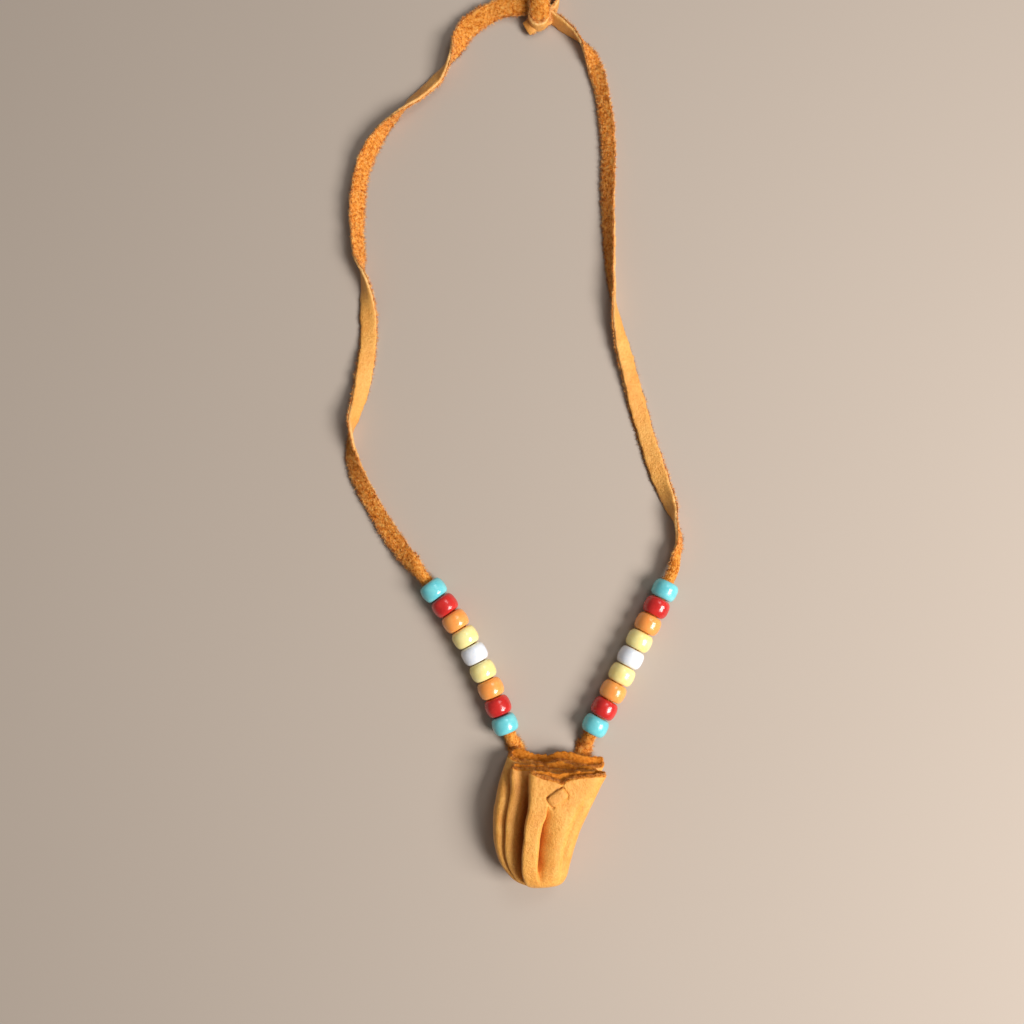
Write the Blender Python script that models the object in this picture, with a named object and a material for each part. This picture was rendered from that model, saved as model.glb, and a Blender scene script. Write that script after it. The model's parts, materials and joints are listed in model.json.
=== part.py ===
"""Beaded medicine bag, lying on its back with its neck loop laid out beside it.

Metres, +Z up. The pouch rests on z = 0 with its front up, its mouth points along +Y, and the
origin is under the middle of the pouch. The lace leaves the pouch on both sides of the mouth,
runs through nine pony beads a side, and its two ends are tied in one knot at the far end.
"""
import math

import bmesh
import bpy
from mathutils import Matrix, Vector

# Pony beads: nine on each side, in the same order from the knot's side down to the pouch.
BEAD_DIAMETER = 0.0088
BEAD_LENGTH = 0.0061
BEAD_BORE = 0.0043
BEAD_FACE = 0.0054
BEAD_BARREL_POWER = 2.3
BEAD_SIDES = 18
BEAD_PROFILE_STEPS = 6
BEAD_GAP = 0.0003
BEAD_PITCH = BEAD_LENGTH + BEAD_GAP
BEAD_ROW = (
    "turquoise", "red", "orange", "yellow", "white", "yellow", "orange", "red", "turquoise",
)

# Lace: a flat thong 5.5 mm wide, drawn here as a round cord of about the same section area.
LACE_DIAMETER = 0.0030
LACE_CLEARANCE = 0.00035
STRAND_SPACING = 0.0078
THREADED_SPACING = 0.0032
ON_TABLE = LACE_DIAMETER / 2 + 0.00015
IN_BEADS = BEAD_DIAMETER / 2

# The lace's route, in metres. Each strand runs from the knot down to its lowest bead.
LEFT_STRAND = (
    (-0.0112, 0.2842, 0.0033), (-0.0165, 0.2838, 0.0027), (-0.0235, 0.2805, ON_TABLE),
    (-0.0295, 0.2750, ON_TABLE), (-0.0345, 0.2645, ON_TABLE), (-0.0400, 0.2565, ON_TABLE),
    (-0.0500, 0.2470, ON_TABLE), (-0.0595, 0.2365, ON_TABLE), (-0.0655, 0.2240, ON_TABLE),
    (-0.0673, 0.2070, ON_TABLE), (-0.0662, 0.1920, ON_TABLE), (-0.0636, 0.1795, ON_TABLE),
    (-0.0627, 0.1630, ON_TABLE), (-0.0648, 0.1450, ON_TABLE), (-0.0681, 0.1300, ON_TABLE),
    (-0.0666, 0.1180, ON_TABLE), (-0.0607, 0.1055, ON_TABLE), (-0.0530, 0.0930, 0.0022),
    (-0.0453, 0.0830, IN_BEADS), (-0.0390, 0.0752, IN_BEADS), (-0.0316, 0.0648, IN_BEADS),
    (-0.0252, 0.0540, IN_BEADS), (-0.0196, 0.0423, IN_BEADS), (-0.0147, 0.0302, IN_BEADS),
)
THROUGH_POUCH = (
    (-0.0125, 0.0245, 0.0042), (-0.0112, 0.0205, 0.0033), (-0.0103, 0.0160, 0.0028),
    (-0.0092, 0.0118, 0.0042), (-0.0072, 0.0086, 0.0080), (-0.0048, 0.0066, 0.0124),
    (-0.0020, 0.0062, 0.0162), (0.0018, 0.0081, 0.0181), (0.0054, 0.0104, 0.0163),
    (0.0078, 0.0121, 0.0122), (0.0095, 0.0135, 0.0078), (0.0107, 0.0158, 0.0042),
    (0.0114, 0.0196, 0.0031), (0.0128, 0.0243, 0.0041),
)
RIGHT_STRAND = (
    (0.0024, 0.2797, 0.0031), (0.0060, 0.2768, 0.0024), (0.0110, 0.2727, ON_TABLE),
    (0.0155, 0.2665, ON_TABLE), (0.0190, 0.2565, ON_TABLE), (0.0212, 0.2430, ON_TABLE),
    (0.0221, 0.2300, ON_TABLE), (0.0217, 0.2150, ON_TABLE), (0.0220, 0.2000, ON_TABLE),
    (0.0227, 0.1830, ON_TABLE), (0.0246, 0.1680, ON_TABLE), (0.0284, 0.1515, ON_TABLE),
    (0.0328, 0.1340, ON_TABLE), (0.0380, 0.1160, ON_TABLE), (0.0428, 0.1020, ON_TABLE),
    (0.0447, 0.0925, 0.0026), (0.0432, 0.0833, IN_BEADS), (0.0395, 0.0752, IN_BEADS),
    (0.0337, 0.0640, IN_BEADS), (0.0277, 0.0527, IN_BEADS), (0.0217, 0.0413, IN_BEADS),
    (0.0156, 0.0299, IN_BEADS),
)
LEFT_TOP_BEAD = LEFT_STRAND[19]
RIGHT_TOP_BEAD = RIGHT_STRAND[17]

# Knot: one overhand knot in both ends, as its outer shape, with the two cut ends as stubs.
KNOT_CENTRE = (-0.0035, 0.2850, 0.0034)
KNOT_HALF_SIZE = (0.0070, 0.0055, 0.0033)
STUB_SIZE = (0.0060, 0.0120, 0.0030)
STUB_PLACES = (((-0.0050, 0.2785), -6.0), ((0.0000, 0.2905), -20.0))

# Pouch: stations up its length, (y, left x, right x, lowest z, highest z).
POUCH_STATIONS = (
    (-0.0219, -0.0052, -0.0008, 0.0060, 0.0095), (-0.0210, -0.0093, 0.0023, 0.0032, 0.0126),
    (-0.0195, -0.0120, 0.0042, 0.0014, 0.0146), (-0.0175, -0.0142, 0.0057, 0.0003, 0.0160),
    (-0.0140, -0.0166, 0.0067, -0.0006, 0.0172), (-0.0085, -0.0181, 0.0082, -0.0009, 0.0180),
    (-0.0026, -0.0188, 0.0104, -0.0009, 0.0185), (0.0030, -0.0185, 0.0130, -0.0009, 0.0186),
    (0.0096, -0.0172, 0.0165, -0.0009, 0.0184), (0.0138, -0.0161, 0.0188, -0.0009, 0.0180),
    (0.0175, -0.0148, 0.0182, -0.0009, 0.0178), (0.0240, -0.0128, 0.0168, -0.0009, 0.0176),
)
SECTION_POWER = 2.6
SECTION_SIDES = 60
STATION_STEP = 0.0021
MOUTH_BACK = (0.0219, 0.0)
MOUTH_FRONT = (0.0140, 0.0176)

# Valleys between the gathered pleats of the front: place across the width from 0 at the left
# to 1 at the right, depth, half width, and the height above which the valley has closed.
PLEAT_VALLEYS = (
    (0.13, 0.0028, 0.0012, 0.05), (0.27, 0.0055, 0.0014, 0.05), (0.56, 0.0036, 0.0024, 0.0035),
    (0.90, 0.0014, 0.0012, 0.05),
)
VALLEY_CLOSING = 0.0035

COLOURS = {
    "turquoise": (0.20, 0.62, 0.70), "red": (0.58, 0.02, 0.02), "orange": (0.93, 0.36, 0.08),
    "yellow": (0.93, 0.80, 0.30), "white": (0.76, 0.77, 0.84), "leather": (0.78, 0.42, 0.12),
    "lace": (0.62, 0.28, 0.06),
}


def clear_scene():
    for thing in list(bpy.data.objects):
        bpy.data.objects.remove(thing)


def make_material(name, colour, roughness):
    material = bpy.data.materials.new(name)
    material.use_nodes = True
    shader = material.node_tree.nodes["Principled BSDF"]
    shader.inputs["Base Color"].default_value = (*colour, 1.0)
    shader.inputs["Roughness"].default_value = roughness
    shader.inputs["Metallic"].default_value = 0.0
    return material


def add_object(name, data, material=None):
    thing = bpy.data.objects.new(name, data)
    bpy.context.scene.collection.objects.link(thing)
    if material is not None:
        data.materials.append(material)
    return thing


def mesh_from(build, name):
    """A mesh made by build(bmesh), with its faces pointing out."""
    shape = bmesh.new()
    build(shape)
    bmesh.ops.recalc_face_normals(shape, faces=shape.faces)
    mesh = bpy.data.meshes.new(name)
    shape.to_mesh(mesh)
    shape.free()
    return mesh


# ---- Curves ----------------------------------------------------------------------------------


def smooth_line(route, per_span=24):
    """Catmull-Rom curve through the route's points, as a fine line of vectors."""
    points = [Vector(p) for p in route]
    points = [2 * points[0] - points[1], *points, 2 * points[-1] - points[-2]]
    line = []
    for before, start, end, after in zip(points, points[1:], points[2:], points[3:]):
        for step in range(per_span):
            t = step / per_span
            line.append(
                0.5
                * (
                    2 * start
                    + (end - before) * t
                    + (2 * before - 5 * start + 4 * end - after) * t**2
                    + (3 * start - before - 3 * end + after) * t**3
                )
            )
    line.append(points[-2])
    return line


def lengths_along(line):
    total = [0.0]
    for a, b in zip(line, line[1:]):
        total.append(total[-1] + (b - a).length)
    return total


def place_at(line, lengths, distance):
    """The point and the direction of the line at a distance along it."""
    at = min(max(distance, 0.0), lengths[-1])
    i = next(k for k in range(1, len(lengths)) if lengths[k] >= at)
    share = (at - lengths[i - 1]) / (lengths[i] - lengths[i - 1])
    return line[i - 1].lerp(line[i], share), (line[i] - line[i - 1]).normalized()


def spaced_points(line, spacing, first, last):
    """Points at an even spacing between two distances along the line, both ends included."""
    lengths = lengths_along(line)
    count = max(1, round((last - first) / spacing))
    steps = (first + (last - first) * k / count for k in range(count + 1))
    return [place_at(line, lengths, step)[0] for step in steps]


def nearest_distance(line, point):
    lengths = lengths_along(line)
    target = Vector(point)
    i = min(range(len(line)), key=lambda k: (line[k] - target).length)
    return lengths[i]


def lace_route():
    return (*LEFT_STRAND, *THROUGH_POUCH, *reversed(RIGHT_STRAND))


def lace_points(line):
    """Wide spacing on the open strands, close spacing where the lace bends through the pouch."""
    enters = nearest_distance(line, THROUGH_POUCH[0])
    leaves = nearest_distance(line, THROUGH_POUCH[-1])
    left = spaced_points(line, STRAND_SPACING, 0.0, enters)
    threaded = spaced_points(line, THREADED_SPACING, enters, leaves)
    right = spaced_points(line, STRAND_SPACING, leaves, lengths_along(line)[-1])
    return [*left, *threaded[1:-1], *right]


def cord_curve(name, points, radius):
    curve = bpy.data.curves.new(name, "CURVE")
    curve.dimensions = "3D"
    curve.bevel_depth = radius
    curve.bevel_resolution = 2
    curve.use_fill_caps = True
    spline = curve.splines.new("POLY")
    spline.points.add(len(points) - 1)
    for spot, point in zip(spline.points, points):
        spot.co = (*point, 1.0)
    return curve


# ---- Pony beads ------------------------------------------------------------------------------


def bead_profile():
    """(radius, height) points from the bore's foot round the barrel and back to the bore."""
    half = BEAD_LENGTH / 2
    low, bulge = BEAD_FACE / 2, (BEAD_DIAMETER - BEAD_FACE) / 2
    outer = []
    for step in range(BEAD_PROFILE_STEPS + 1):
        angle = math.pi * (step / BEAD_PROFILE_STEPS - 0.5)
        height = half * math.copysign(abs(math.sin(angle)) ** (2 / BEAD_BARREL_POWER), angle)
        outer.append((low + bulge * math.cos(angle) ** (2 / BEAD_BARREL_POWER), height))
    bore = BEAD_BORE / 2
    return [(bore, -half), *outer, (bore, half)]


def build_bead(shape):
    rings = []
    for side in range(BEAD_SIDES):
        angle = 2 * math.pi * side / BEAD_SIDES
        across = Vector((math.cos(angle), math.sin(angle), 0.0))
        rings.append(
            [shape.verts.new(across * radius + Vector((0, 0, z))) for radius, z in bead_profile()]
        )
    for ring, following in zip(rings, rings[1:] + rings[:1]):
        for k in range(len(ring)):
            after = (k + 1) % len(ring)
            shape.faces.new((ring[k], following[k], following[after], ring[after]))


def add_beads(line, side, top_bead, onward):
    """One side's beads, from the top one down; onward is the lace's direction as +1 or -1."""
    lengths = lengths_along(line)
    start = nearest_distance(line, top_bead)
    for number, colour in enumerate(BEAD_ROW, start=1):
        at = start + onward * BEAD_PITCH * (number - 1)
        centre, direction = place_at(line, lengths, at)
        bead = add_object(f"bead_{side}_{number}", bpy.data.meshes[f"bead_{colour}"])
        bead.location = centre
        bead.rotation_euler = (-onward * direction).to_track_quat("Z", "Y").to_euler()


def make_bead_meshes():
    for colour in dict.fromkeys(BEAD_ROW):
        mesh = mesh_from(build_bead, f"bead_{colour}")
        mesh.shade_smooth()
        mesh.set_sharp_from_angle(angle=math.radians(40))
        mesh.materials.append(make_material(f"bead_{colour}", COLOURS[colour], 0.12))


# ---- Pouch -----------------------------------------------------------------------------------


def station_at(y):
    """Left, right, lowest and highest at a place up the pouch, read between the stations."""
    last = len(POUCH_STATIONS) - 1
    i = next((k for k in range(1, last) if POUCH_STATIONS[k][0] >= y), last)
    below, above = POUCH_STATIONS[i - 1], POUCH_STATIONS[i]
    share = (y - below[0]) / (above[0] - below[0])
    return [a + (b - a) * share for a, b in zip(below[1:], above[1:])]


def valley_depth(x, y, left, right):
    depth = 0.0
    for place, deep, half_width, closes in PLEAT_VALLEYS:
        middle = left + (right - left) * place
        open_share = min(max((closes - y) / VALLEY_CLOSING, 0.0), 1.0)
        reach = min(1.0, (right - left) / 0.016) ** 2
        depth += deep * open_share * reach * math.exp(-(((x - middle) / half_width) ** 2))
    return depth


def section_ring(shape, y):
    left, right, low, high = station_at(y)
    middle, half_width = (left + right) / 2, (right - left) / 2
    level, half_height = (low + high) / 2, (high - low) / 2
    ring = []
    for side in range(SECTION_SIDES):
        angle = 2 * math.pi * side / SECTION_SIDES
        c, s = math.cos(angle), math.sin(angle)
        x = middle + half_width * math.copysign(abs(c) ** (2 / SECTION_POWER), c)
        z = level + half_height * math.copysign(abs(s) ** (2 / SECTION_POWER), s)
        if s > 0:
            z -= valley_depth(x, y, left, right) * min(1.0, 2.5 * s)
        ring.append(shape.verts.new((x, y, max(z, 0.0))))
    return ring


def build_pouch(shape):
    first, last = POUCH_STATIONS[0][0], POUCH_STATIONS[-1][0]
    count = round((last - first) / STATION_STEP)
    heights = [first + (last - first) * k / count for k in range(count + 1)]
    heights = sorted({*heights, *(station[0] for station in POUCH_STATIONS[1:4])})
    rings = [section_ring(shape, y) for y in heights]
    for lower, upper in zip(rings, rings[1:]):
        for k in range(SECTION_SIDES):
            after = (k + 1) % SECTION_SIDES
            shape.faces.new((lower[k], lower[after], upper[after], upper[k]))
    shape.faces.new(rings[0])
    shape.faces.new(rings[-1])
    cut_mouth(shape)
    centre_on_origin(shape)


def cut_mouth(shape):
    """The gathered mouth is one slanted face: the front wall ends lower than the back wall."""
    rise = (MOUTH_BACK[0] - MOUTH_FRONT[0], MOUTH_FRONT[1] - MOUTH_BACK[1])
    cut = bmesh.ops.bisect_plane(
        shape,
        geom=[*shape.verts, *shape.edges, *shape.faces],
        plane_co=(0.0, *MOUTH_BACK),
        plane_no=(0.0, rise[1], rise[0]),
        clear_outer=True,
    )
    rim = [e for e in cut["geom_cut"] if isinstance(e, bmesh.types.BMEdge)]
    bmesh.ops.holes_fill(shape, edges=rim)


def centre_on_origin(shape):
    for axis in (0, 1):
        values = [v.co[axis] for v in shape.verts]
        shift = (min(values) + max(values)) / 2
        for v in shape.verts:
            v.co[axis] -= shift


def add_pouch(line):
    mesh = mesh_from(build_pouch, "pouch")
    pouch = add_object("pouch", mesh, make_material("pouch_leather", COLOURS["leather"], 0.6))
    mesh.shade_smooth()
    mesh.set_sharp_from_angle(angle=math.radians(45))
    tunnel = pouch.modifiers.new("lace_way", "BOOLEAN")
    tunnel.operation = "DIFFERENCE"
    tunnel.object = lace_cutter(line)


def lace_cutter(line):
    """A wider tube along the threaded stretch: the way that the lace takes through the pouch."""
    first = nearest_distance(line, THROUGH_POUCH[0])
    last = nearest_distance(line, THROUGH_POUCH[-1])
    points = spaced_points(line, THREADED_SPACING, first, last)
    curve = cord_curve("lace_way", points, LACE_DIAMETER / 2 + LACE_CLEARANCE)
    guide = add_object("lace_way_guide", curve)
    bpy.context.view_layer.update()
    mesh = bpy.data.meshes.new_from_object(guide.evaluated_get(bpy.context.evaluated_depsgraph_get()))
    bpy.data.objects.remove(guide)
    cutter = add_object("lace_way", mesh)
    cutter.hide_render = True
    cutter.display_type = "WIRE"
    return cutter


# ---- Knot ------------------------------------------------------------------------------------


def build_knot_lump(shape):
    placed = Matrix.Translation(KNOT_CENTRE) @ Matrix.Diagonal((*KNOT_HALF_SIZE, 1.0))
    bmesh.ops.create_uvsphere(shape, u_segments=20, v_segments=12, radius=1.0, matrix=placed)


def stub_builder(place, degrees):
    def build(shape):
        turned = Matrix.Rotation(math.radians(degrees), 4, "Z")
        seat = Matrix.Translation((*place, KNOT_CENTRE[2] - 0.0011))
        bmesh.ops.create_cube(shape, size=1.0, matrix=seat @ turned @ Matrix.Diagonal((*STUB_SIZE, 1)))
        bmesh.ops.bevel(
            shape, geom=[*shape.edges], offset=STUB_SIZE[2] * 0.2, segments=1, affect="EDGES"
        )

    return build


def add_knot():
    mesh = mesh_from(build_knot_lump, "lace_knot")
    knot = add_object("lace_knot", mesh, make_material("knot_leather", COLOURS["lace"], 0.8))
    mesh.shade_smooth()
    for number, (place, degrees) in enumerate(STUB_PLACES, start=1):
        stub = add_object(f"knot_stub_{number}", mesh_from(stub_builder(place, degrees), "stub"))
        stub.hide_render = True
        stub.display_type = "WIRE"
        join = knot.modifiers.new(f"stub_{number}", "BOOLEAN")
        join.operation = "UNION"
        join.object = stub


def add_lace(line):
    curve = cord_curve("lace", lace_points(line), LACE_DIAMETER / 2)
    add_object("lace", curve, make_material("lace_leather", COLOURS["lace"], 0.8))


def main():
    clear_scene()
    line = smooth_line(lace_route())
    make_bead_meshes()
    add_pouch(line)
    add_lace(line)
    add_knot()
    add_beads(line, "left", LEFT_TOP_BEAD, 1)
    add_beads(line, "right", RIGHT_TOP_BEAD, -1)


main()
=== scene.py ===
"""Beaded medicine bag: the looks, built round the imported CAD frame.

Metres, +Z up. The bag lies on its back on z = 0 with its front up and its mouth along +Y.
"""
import json
import math
import random

import bpy
import numpy as np
from mathutils import Matrix, Vector, noise


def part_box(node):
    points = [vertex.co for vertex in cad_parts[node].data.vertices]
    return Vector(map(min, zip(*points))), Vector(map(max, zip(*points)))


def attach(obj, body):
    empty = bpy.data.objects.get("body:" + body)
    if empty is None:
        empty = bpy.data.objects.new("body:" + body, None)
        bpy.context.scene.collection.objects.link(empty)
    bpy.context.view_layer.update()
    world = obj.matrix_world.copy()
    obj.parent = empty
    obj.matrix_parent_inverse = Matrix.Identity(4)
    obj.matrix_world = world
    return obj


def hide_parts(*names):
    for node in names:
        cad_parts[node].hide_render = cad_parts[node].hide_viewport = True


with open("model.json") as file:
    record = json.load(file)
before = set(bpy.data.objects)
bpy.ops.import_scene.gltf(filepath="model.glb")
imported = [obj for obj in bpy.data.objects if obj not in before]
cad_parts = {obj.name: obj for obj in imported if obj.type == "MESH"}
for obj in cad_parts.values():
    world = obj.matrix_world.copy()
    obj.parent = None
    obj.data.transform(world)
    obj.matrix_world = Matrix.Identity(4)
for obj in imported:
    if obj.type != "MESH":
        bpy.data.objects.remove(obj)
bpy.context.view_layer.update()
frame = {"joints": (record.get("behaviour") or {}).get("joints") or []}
ROOT = "pouch"
MM = 0.001

# ---- Driving sizes ---------------------------------------------------------------------------

LACE_WIDTH = 0.0055
LACE_THICKNESS = 0.0013
LEATHER_THICKNESS = 0.0013
BEAD_LENGTH = 0.0061
BEAD_DIAMETER = 0.0088
BEAD_BORE = 0.0042
BEAD_FACE = 0.0054
BEAD_BARREL_POWER = 2.3
ON_TABLE = 0.00165
IN_BEADS = BEAD_DIAMETER / 2
POUCH_FOOT = (-0.003, -0.0219, 0.0078)

# The lace's route, as in the CAD: each strand from the knot down to its lowest bead.
LEFT_FROM_KNOT = ((-0.0030, 0.2838, 0.0036), (-0.0072, 0.2845, 0.0037))
LEFT_STRAND = (
    (-0.0112, 0.2842, 0.0033), (-0.0165, 0.2838, 0.0027), (-0.0235, 0.2805, ON_TABLE),
    (-0.0295, 0.2750, ON_TABLE), (-0.0345, 0.2645, ON_TABLE), (-0.0400, 0.2565, ON_TABLE),
    (-0.0500, 0.2470, ON_TABLE), (-0.0595, 0.2365, ON_TABLE), (-0.0655, 0.2240, ON_TABLE),
    (-0.0673, 0.2070, ON_TABLE), (-0.0662, 0.1920, ON_TABLE), (-0.0636, 0.1795, ON_TABLE),
    (-0.0627, 0.1630, ON_TABLE), (-0.0648, 0.1450, ON_TABLE), (-0.0681, 0.1300, ON_TABLE),
    (-0.0666, 0.1180, ON_TABLE), (-0.0607, 0.1055, ON_TABLE), (-0.0530, 0.0930, 0.0022),
    (-0.0453, 0.0830, IN_BEADS), (-0.0390, 0.0752, IN_BEADS), (-0.0316, 0.0648, IN_BEADS),
    (-0.0252, 0.0540, IN_BEADS), (-0.0196, 0.0423, IN_BEADS), (-0.0147, 0.0302, IN_BEADS),
)
LEFT_INTO_POUCH = ((-0.0125, 0.0252, 0.0036), (-0.0108, 0.0214, 0.0014), (-0.0098, 0.0165, 0.0009))
RIGHT_FROM_KNOT = ((-0.0018, 0.2826, 0.0038),)
RIGHT_STRAND = (
    (0.0024, 0.2797, 0.0031), (0.0060, 0.2768, 0.0024), (0.0110, 0.2727, ON_TABLE),
    (0.0155, 0.2665, ON_TABLE), (0.0190, 0.2565, ON_TABLE), (0.0212, 0.2430, ON_TABLE),
    (0.0221, 0.2300, ON_TABLE), (0.0217, 0.2150, ON_TABLE), (0.0220, 0.2000, ON_TABLE),
    (0.0227, 0.1830, ON_TABLE), (0.0246, 0.1680, ON_TABLE), (0.0284, 0.1515, ON_TABLE),
    (0.0328, 0.1340, ON_TABLE), (0.0380, 0.1160, ON_TABLE), (0.0428, 0.1020, ON_TABLE),
    (0.0447, 0.0925, 0.0026), (0.0432, 0.0833, IN_BEADS), (0.0395, 0.0752, IN_BEADS),
    (0.0337, 0.0640, IN_BEADS), (0.0277, 0.0527, IN_BEADS), (0.0217, 0.0413, IN_BEADS),
    (0.0156, 0.0299, IN_BEADS),
)
RIGHT_INTO_POUCH = ((0.0133, 0.0250, 0.0036), (0.0117, 0.0208, 0.0014), (0.0108, 0.0160, 0.0009))

# How the thong turns over along each strand: (height up the page in mm, roll in degrees).
# At a roll of 0 its suede side is up, at 180 its grain side, and at 90 or 270 it is on edge.
LEFT_ROLL = (
    (15, 0), (76, 0), (84, 10), (105, 20), (120, 38), (129, 78), (134, 112), (145, 150),
    (160, 172), (172, 196), (182, 240), (187, 268), (192, 305), (205, 321), (226, 320),
    (236, 300), (243, 268), (250, 225), (257, 218), (264, 262), (270, 310), (276, 345), (290, 355),
)
RIGHT_ROLL = (
    (15, 0), (70, -30), (80, -58), (92, -66), (99, -84), (104, -122), (114, -160), (140, -184),
    (160, -208), (170, -236), (180, -280), (190, -298), (205, -315), (230, -335), (252, -338),
    (261, -350), (267, -388), (271, -426), (274, -452), (277, -466), (290, -470),
)
# The cut width along each strand, as a share of LACE_WIDTH: (height up the page in mm, share).
LEFT_WIDTH = ((0, 1.0), (120, 1.0), (200, 0.98), (260, 1.05), (275, 1.18), (290, 1.2))
RIGHT_WIDTH = ((0, 1.0), (150, 1.0), (185, 0.88), (230, 0.86), (262, 0.84), (290, 0.9))


# ---- Small tools -----------------------------------------------------------------------------


def smooth(x):
    x = np.clip(x, 0.0, 1.0)
    return x * x * (3 - 2 * x)


def catmull_rom(rows, per_span):
    """The curve through all but the first and the last of the rows."""
    t = (np.arange(per_span) / per_span)[:, None]
    spans = []
    for before, start, end, after in zip(rows, rows[1:], rows[2:], rows[3:]):
        spans.append(
            0.5
            * (
                2 * start
                + (end - before) * t
                + (2 * before - 5 * start + 4 * end - after) * t**2
                + (3 * start - before - 3 * end + after) * t**3
            )
        )
    return np.vstack(spans)


def smooth_line(route, per_span=24):
    """Catmull-Rom curve through the route's points, as an array of points."""
    points = np.array([[float(c) for c in p] for p in route])
    points = np.vstack([2 * points[0] - points[1], points, 2 * points[-1] - points[-2]])
    return np.vstack([catmull_rom(points, per_span), points[-2]])


def spaced(line, step):
    """The line again, with points an even step apart."""
    along = np.concatenate([[0.0], np.cumsum(np.linalg.norm(np.diff(line, axis=0), axis=1))])
    stops = np.linspace(0.0, along[-1], max(2, round(along[-1] / step) + 1))
    return np.stack([np.interp(stops, along, line[:, k]) for k in range(3)], axis=1)


def unit(vectors):
    return vectors / np.maximum(np.linalg.norm(vectors, axis=-1, keepdims=True), 1e-12)


def length_of(line):
    return float(np.linalg.norm(np.diff(line, axis=0), axis=1).sum())


def make_object(name, verts, faces, materials, face_slots=None, smooth_angle=None):
    mesh = bpy.data.meshes.new(name)
    mesh.from_pydata([tuple(v) for v in verts], [], [tuple(f) for f in faces])
    for material in materials:
        mesh.materials.append(material)
    if face_slots is not None:
        mesh.polygons.foreach_set("material_index", np.asarray(face_slots, np.int32))
    mesh.validate()
    mesh.shade_smooth()
    if smooth_angle is not None:
        mesh.set_sharp_from_angle(angle=math.radians(smooth_angle))
    thing = bpy.data.objects.new(name, mesh)
    bpy.context.scene.collection.objects.link(thing)
    return thing


# ---- Materials -------------------------------------------------------------------------------


class Paint:
    """A Principled material whose nodes are added one call at a time."""

    def __init__(self, name, roughness, **constants):
        self.material = bpy.data.materials.new(name)
        self.material.use_nodes = True
        self.tree = self.material.node_tree
        self.shader = self.tree.nodes["Principled BSDF"]
        self.shader.inputs["Roughness"].default_value = roughness
        for socket, value in constants.items():
            self.shader.inputs[socket.replace("_", " ")].default_value = value
        self.place = self.node("ShaderNodeTexCoord").outputs["Object"]

    def node(self, kind, **settings):
        made = self.tree.nodes.new(kind)
        for name, value in settings.items():
            setattr(made, name, value)
        return made

    def link(self, output, socket):
        self.tree.links.new(output, socket)

    def noise(self, scale, detail=3.0, rough=0.55, stretch=(1, 1, 1)):
        mapping = self.node("ShaderNodeMapping")
        mapping.inputs["Scale"].default_value = stretch
        self.link(self.place, mapping.inputs["Vector"])
        texture = self.node("ShaderNodeTexNoise")
        texture.inputs["Scale"].default_value = scale
        texture.inputs["Detail"].default_value = detail
        texture.inputs["Roughness"].default_value = rough
        self.link(mapping.outputs["Vector"], texture.inputs["Vector"])
        return texture.outputs["Fac"]

    def cells(self, scale, feature="F1"):
        texture = self.node("ShaderNodeTexVoronoi", feature=feature)
        texture.inputs["Scale"].default_value = scale
        self.link(self.place, texture.inputs["Vector"])
        return texture.outputs["Distance"]

    def attribute(self, name):
        return self.node("ShaderNodeAttribute", attribute_name=name).outputs["Fac"]

    def ramp(self, value, *stops):
        """A colour ramp; each stop is (position, (r, g, b))."""
        ramp = self.node("ShaderNodeValToRGB")
        elements = ramp.color_ramp.elements
        while len(elements) < len(stops):
            elements.new(0.5)
        for element, (position, colour) in zip(elements, stops):
            element.position = position
            element.color = (*colour, 1.0)
        self.link(value, ramp.inputs["Fac"])
        return ramp.outputs["Color"]

    def mix(self, share, first, second, blend="MIX"):
        mixer = self.node("ShaderNodeMix", data_type="RGBA", blend_type=blend)
        factor, a, b = mixer.inputs[0], mixer.inputs[6], mixer.inputs[7]
        for value, socket in ((share, factor), (first, a), (second, b)):
            if isinstance(value, bpy.types.NodeSocket):
                self.link(value, socket)
            elif isinstance(value, tuple):
                socket.default_value = (*value, 1.0)
            else:
                socket.default_value = value
        return mixer.outputs[2]

    def to_range(self, value, low, high, from_low=0.0, from_high=1.0):
        mapped = self.node("ShaderNodeMapRange")
        mapped.inputs["From Min"].default_value = from_low
        mapped.inputs["From Max"].default_value = from_high
        mapped.inputs["To Min"].default_value = low
        mapped.inputs["To Max"].default_value = high
        self.link(value, mapped.inputs["Value"])
        return mapped.outputs["Result"]

    def bump(self, *layers):
        """Bumps on top of each other; each layer is (height, depth in metres)."""
        normal = None
        for height, depth in layers:
            made = self.node("ShaderNodeBump")
            made.inputs["Strength"].default_value = 1.0
            made.inputs["Distance"].default_value = depth
            self.link(height, made.inputs["Height"])
            if normal is not None:
                self.link(normal, made.inputs["Normal"])
            normal = made.outputs["Normal"]
        self.link(normal, self.shader.inputs["Normal"])

    def colour(self, output):
        self.link(output, self.shader.inputs["Base Color"])

    def roughness(self, output):
        self.link(output, self.shader.inputs["Roughness"])


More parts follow.
